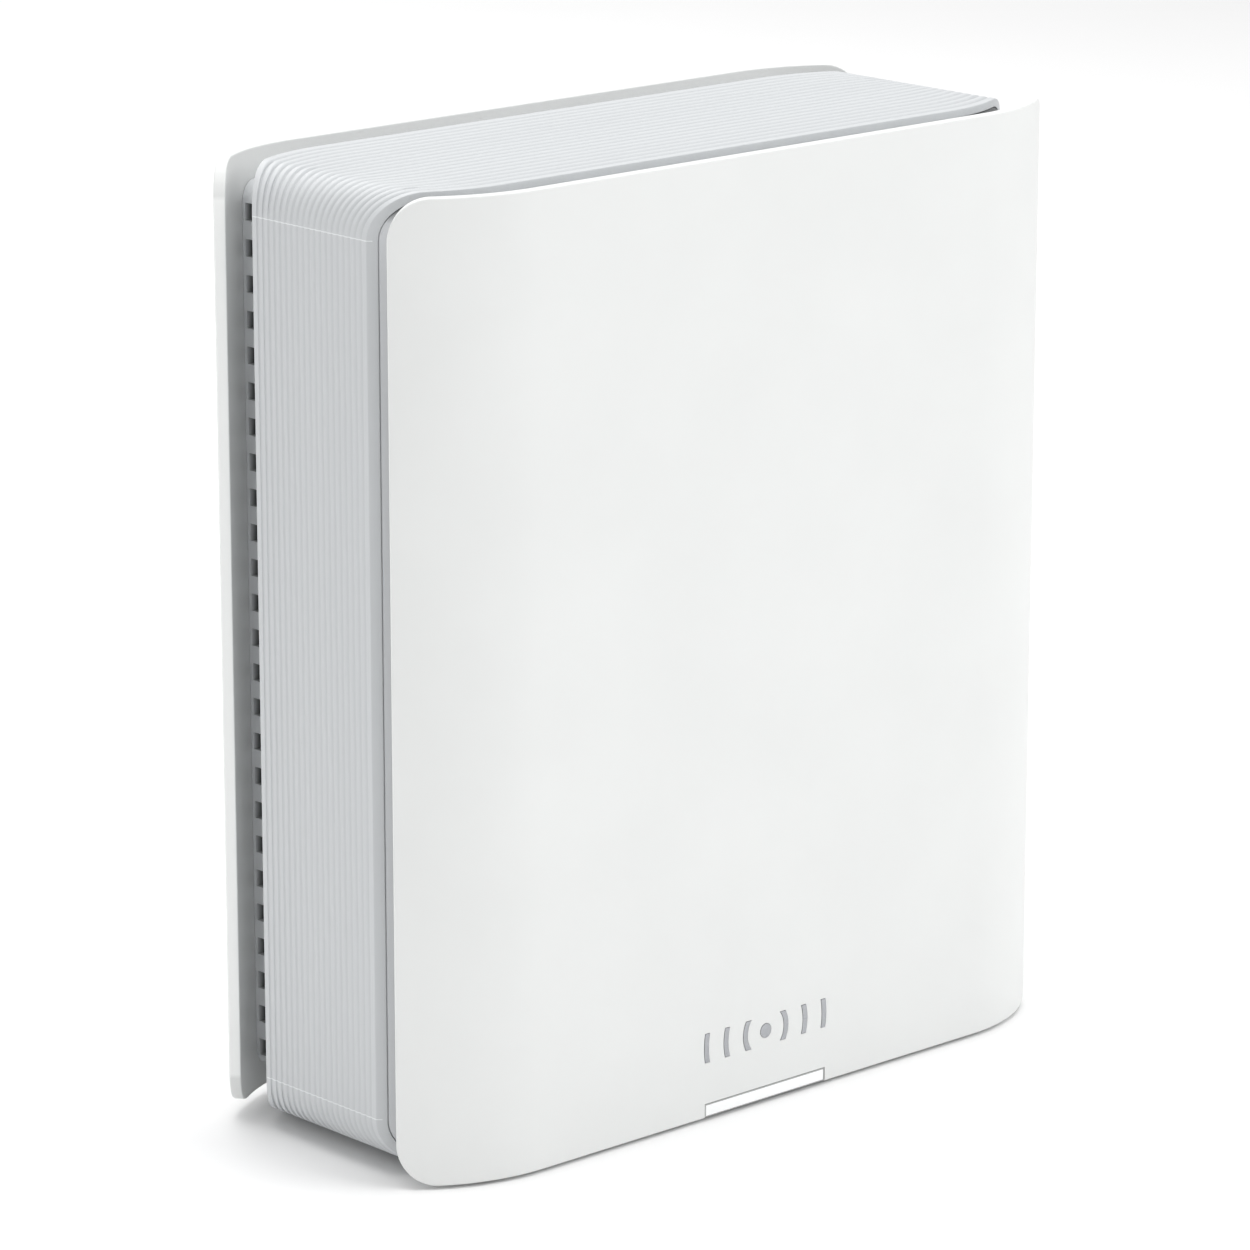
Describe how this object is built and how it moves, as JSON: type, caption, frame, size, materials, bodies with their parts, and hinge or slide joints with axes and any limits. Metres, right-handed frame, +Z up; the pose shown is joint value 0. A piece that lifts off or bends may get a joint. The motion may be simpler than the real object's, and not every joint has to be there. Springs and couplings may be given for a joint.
{
  "type": "wireless router",
  "caption": "Upright desktop wireless router with curved covers on a ribbed vented body, rear socket bay, power rocker and push buttons.",
  "frame": {"origin": "middle of the footprint at the underside of the feet", "axes": "+Z up, the front cover with the light bar faces -Y, the sockets face +Y, +X to the right seen from the front"},
  "size_m": [0.238, 0.1024, 0.265],
  "materials": {
    "antenna_green": "solder mask",
    "badge_silver": "bright silver",
    "board_green": "solder mask",
    "body_grey": "satin, ribbed",
    "button_grey": "satin",
    "can_steel": "tinned",
    "capacitor_aluminium": "bright",
    "chassis_steel": "stamped",
    "chip_black": "moulded package",
    "clear_guide": "clear",
    "contact_gold": "gold flash",
    "cover_white": "fine matte moulded texture",
    "foot_rubber": "matte",
    "frame_grey": "matte",
    "inner_plastic": "matte",
    "jack_black": "shielded shell",
    "label_silver": "matte, blank",
    "light_bar": "diffusing white",
    "pad_grey": "soft",
    "port_grey": "matte",
    "screw_steel": "plated",
    "sink_aluminium": "extruded",
    "socket_black": "satin",
    "usb_steel": "shell"
  },
  "bodies": {
    "housing": {"antenna_board_1": "antenna_green", "antenna_board_2": "antenna_green", "antenna_board_3": "antenna_green", "antenna_board_4": "antenna_green", "antenna_board_5": "antenna_green", "antenna_board_6": "antenna_green", "antenna_board_7": "antenna_green", "antenna_board_8": "antenna_green", "antenna_plugs": "contact_gold", "antenna_tray": "inner_plastic", "board_screws": "screw_steel", "body_band": "body_grey", "capacitors": "capacitor_aluminium", "chassis_frame": "chassis_steel", "chassis_screws": "screw_steel", "ethernet_jack_1": "jack_black", "ethernet_jack_2": "jack_black", "ethernet_jack_3": "jack_black", "ethernet_jack_4": "jack_black", "front_cover_screws": "screw_steel", "front_heatsink": "sink_aluminium", "front_panel": "cover_white", "front_vent_frame": "frame_grey", "jack_contacts": "contact_gold", "light_board": "board_green", "light_board_screws": "screw_steel", "light_guide": "clear_guide", "main_board": "board_green", "memory_chips": "chip_black", "network_transformers": "chip_black", "pairing_switch": "chip_black", "port_plate": "port_grey", "port_plate_screws": "screw_steel", "power_inlet": "socket_black", "processor": "chip_black", "radio_chips": "chip_black", "rating_plate": "label_silver", "rear_cover_screws": "screw_steel", "rear_heatsink": "sink_aluminium", "rear_panel": "cover_white", "rear_thermal_pads": "pad_grey", "rear_vent_frame": "frame_grey", "reset_switch": "chip_black", "rubber_feet": "foot_rubber", "shield_can_1": "can_steel", "shield_can_2": "can_steel", "shield_can_3": "can_steel", "shield_can_4": "can_steel", "signal_badge": "badge_silver", "status_light": "light_bar", "switch_housing": "socket_black", "thermal_pads": "pad_grey", "tray_screws": "screw_steel", "usb_socket": "usb_steel"},
    "power_rocker": {"power_rocker": "socket_black"},
    "pairing_button": {"pairing_button": "button_grey"},
    "reset_button": {"reset_button": "button_grey"}
  },
  "joints": [
    {"name": "power_rocker_pivot", "type": "hinge", "parent": "housing", "child": "power_rocker", "pos_m": [0.0525, 0.0426, 0.043], "axis": [-1, 0, 0], "range_deg": [0, 18]},
    {"name": "pairing_button_press", "type": "slide", "parent": "housing", "child": "pairing_button", "axis": [0, -1, 0], "range_m": [0, 0.0008], "stiffness_N_per_m": 800, "springref_m": -0.0003},
    {"name": "reset_button_press", "type": "slide", "parent": "housing", "child": "reset_button", "axis": [0, -1, 0], "range_m": [0, 0.0008], "stiffness_N_per_m": 800, "springref_m": -0.0003}
  ]
}
